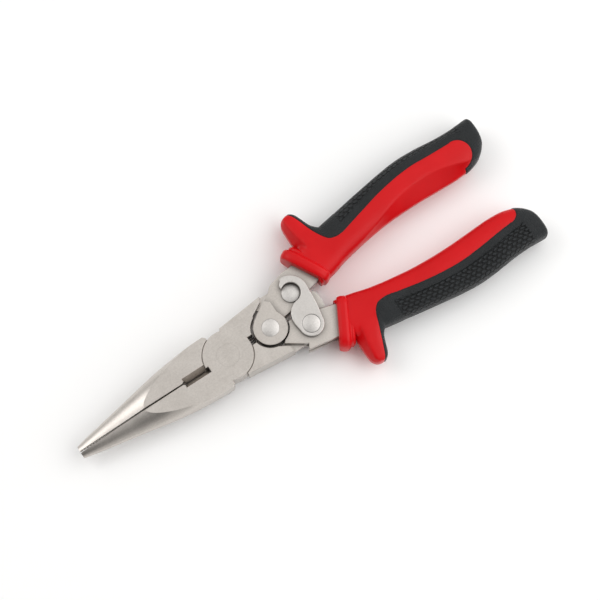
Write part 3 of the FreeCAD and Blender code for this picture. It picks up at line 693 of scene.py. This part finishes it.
def make_grip(side_name, side):
    """The red body and the black cover of one grip, on its handle."""
    bar = grip_bar(f"{side_name}_bar", side)
    fin = thumb_fin(f"{side_name}_fin", side)
    skin = merged_skin(f"{side_name}_grip_red", [bar, fin], voxel=0.42, rounds=7)
    rubber = skin.copy()
    rubber.data = skin.data.copy()
    rubber.name = f"{side_name}_grip_rubber"
    bpy.context.collection.objects.link(rubber)

    place, normal = vertices_of(skin)
    depth = cover_depth(place[:, 0], side * place[:, 1], side_name)
    sink = smooth_step(depth, 0.2, 1.4) * RED_SINK
    put_vertices(skin, place - normal * sink[:, None])

    lift = -RUBBER_BURIED + (RUBBER_BURIED + RUBBER_PROUD) * smooth_step(depth, -0.45, 0.45)
    outward = side * place[:, 1]
    middle = smooth_curve(GRIP["x"], (GRIP["inner"] + GRIP["outer"]) / 2, place[:, 0])
    wrap = np.arctan2(place[:, 2] - MID, np.maximum(outward - middle, 0.01)) * PALM_RADIUS
    inside = smooth_step(depth, *LEAF_MARGIN) * smooth_step(place[:, 0], *LEAF_START)
    inside = inside * (1 - smooth_step(place[:, 0], *LEAF_END))
    put_vertices(rubber, place + normal * (lift - LEAF_BED * inside)[:, None])
    mark_leaves(rubber, place[:, 0], wrap, inside)

    for piece, material, node in ((skin, RED, f"{side_name}_grip_body"),
                                  (rubber, BLACK, f"{side_name}_grip_cover")):
        piece.data.materials.clear()
        piece.data.materials.append(material)
        piece.data.shade_smooth()
        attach(piece, f"{side_name}_handle")
        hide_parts(node)
        print(piece.name, len(piece.data.polygons), "faces")


for side_name, side in (("upper", 1), ("lower", -1)):
    make_grip(side_name, side)


# %% [markdown]
# The collar at the front of each grip is a fat lip with a groove behind it, square to the
# handle's neck. It is a rounded slot shape swept along a short profile, so one function of the
# way round and the way along gives all of it.


# %% Collars
COLLAR_HALF_WIDTH = 11.8
COLLAR_HALF_HEIGHT = 8.3
COLLAR_START = (47.96, 13.94)
COLLAR_LEAN = math.radians(29.0)


def make_collar(side_name, side):
    """Sections of a rounded oblong, their size following the lip's profile along the neck."""
    along = np.array([0.0, 0.15, 0.6, 1.4, 2.6, 3.8, 4.6, 5.0, 5.4, 6.4, 7.2])
    swell = np.array([-2.2, -1.0, -0.35, 0.0, 0.1, 0.0, -0.5, -1.1, -1.5, -1.6, -2.4])
    fine = np.linspace(0, along[-1], 60)
    grow = smooth_curve(along, swell, fine)[:, None]
    c, s = soft_section(np.linspace(0, 2 * np.pi, 128, endpoint=False), power=0.5)
    v = (COLLAR_HALF_WIDTH + grow) * c
    z = (COLLAR_HALF_HEIGHT + grow) * s
    u = np.broadcast_to(fine[:, None], v.shape)
    x = COLLAR_START[0] + u * math.cos(COLLAR_LEAN) - v * math.sin(COLLAR_LEAN)
    y = COLLAR_START[1] + u * math.sin(COLLAR_LEAN) + v * math.cos(COLLAR_LEAN)
    piece = grid_object(f"{side_name}_collar", np.stack([x, side * y, MID + z], axis=-1))
    piece.data.materials.append(RED)
    piece.data.shade_smooth()
    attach(piece, f"{side_name}_handle")


for side_name, side in (("upper", 1), ("lower", -1)):
    make_collar(side_name, side)

# %% [markdown]
# The opening spring sits in a pocket in each tail, so the real one stretches as the jaws open.
# Here it is one coil of wire built in the spring's box and attached to neither jaw. A stiff copy
# on one jaw would be simpler, but its far end would run through the other jaw's pocket.


# %% Opening spring
def coil_spring(turns=11, per_turn=28, around=10, wire=0.2):
    """A wire of radius r along the helix (R cos t, R sin t, p t / 2 pi), its axis along Y."""
    low, high = (np.array(corner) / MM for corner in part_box("opening_spring"))
    radius = (high[0] - low[0]) / 2 - wire
    length = high[1] - low[1] - 2 * wire
    t = np.linspace(0, 2 * np.pi * turns, turns * per_turn)[:, None]
    turn = np.linspace(0, 2 * np.pi, around, endpoint=False)[None, :]
    out = radius + wire * np.cos(turn)
    centre = (low + high) / 2
    x = centre[0] + out * np.cos(t)
    z = centre[2] + out * np.sin(t)
    y = centre[1] + (t / t[-1] - 0.5) * length + wire * np.sin(turn)
    return grid_object("coil", np.stack([x, y, z], axis=-1))


spring = coil_spring()
spring.data.materials.append(SPRING_STEEL)
spring.data.shade_smooth()
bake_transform(spring)
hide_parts("opening_spring")
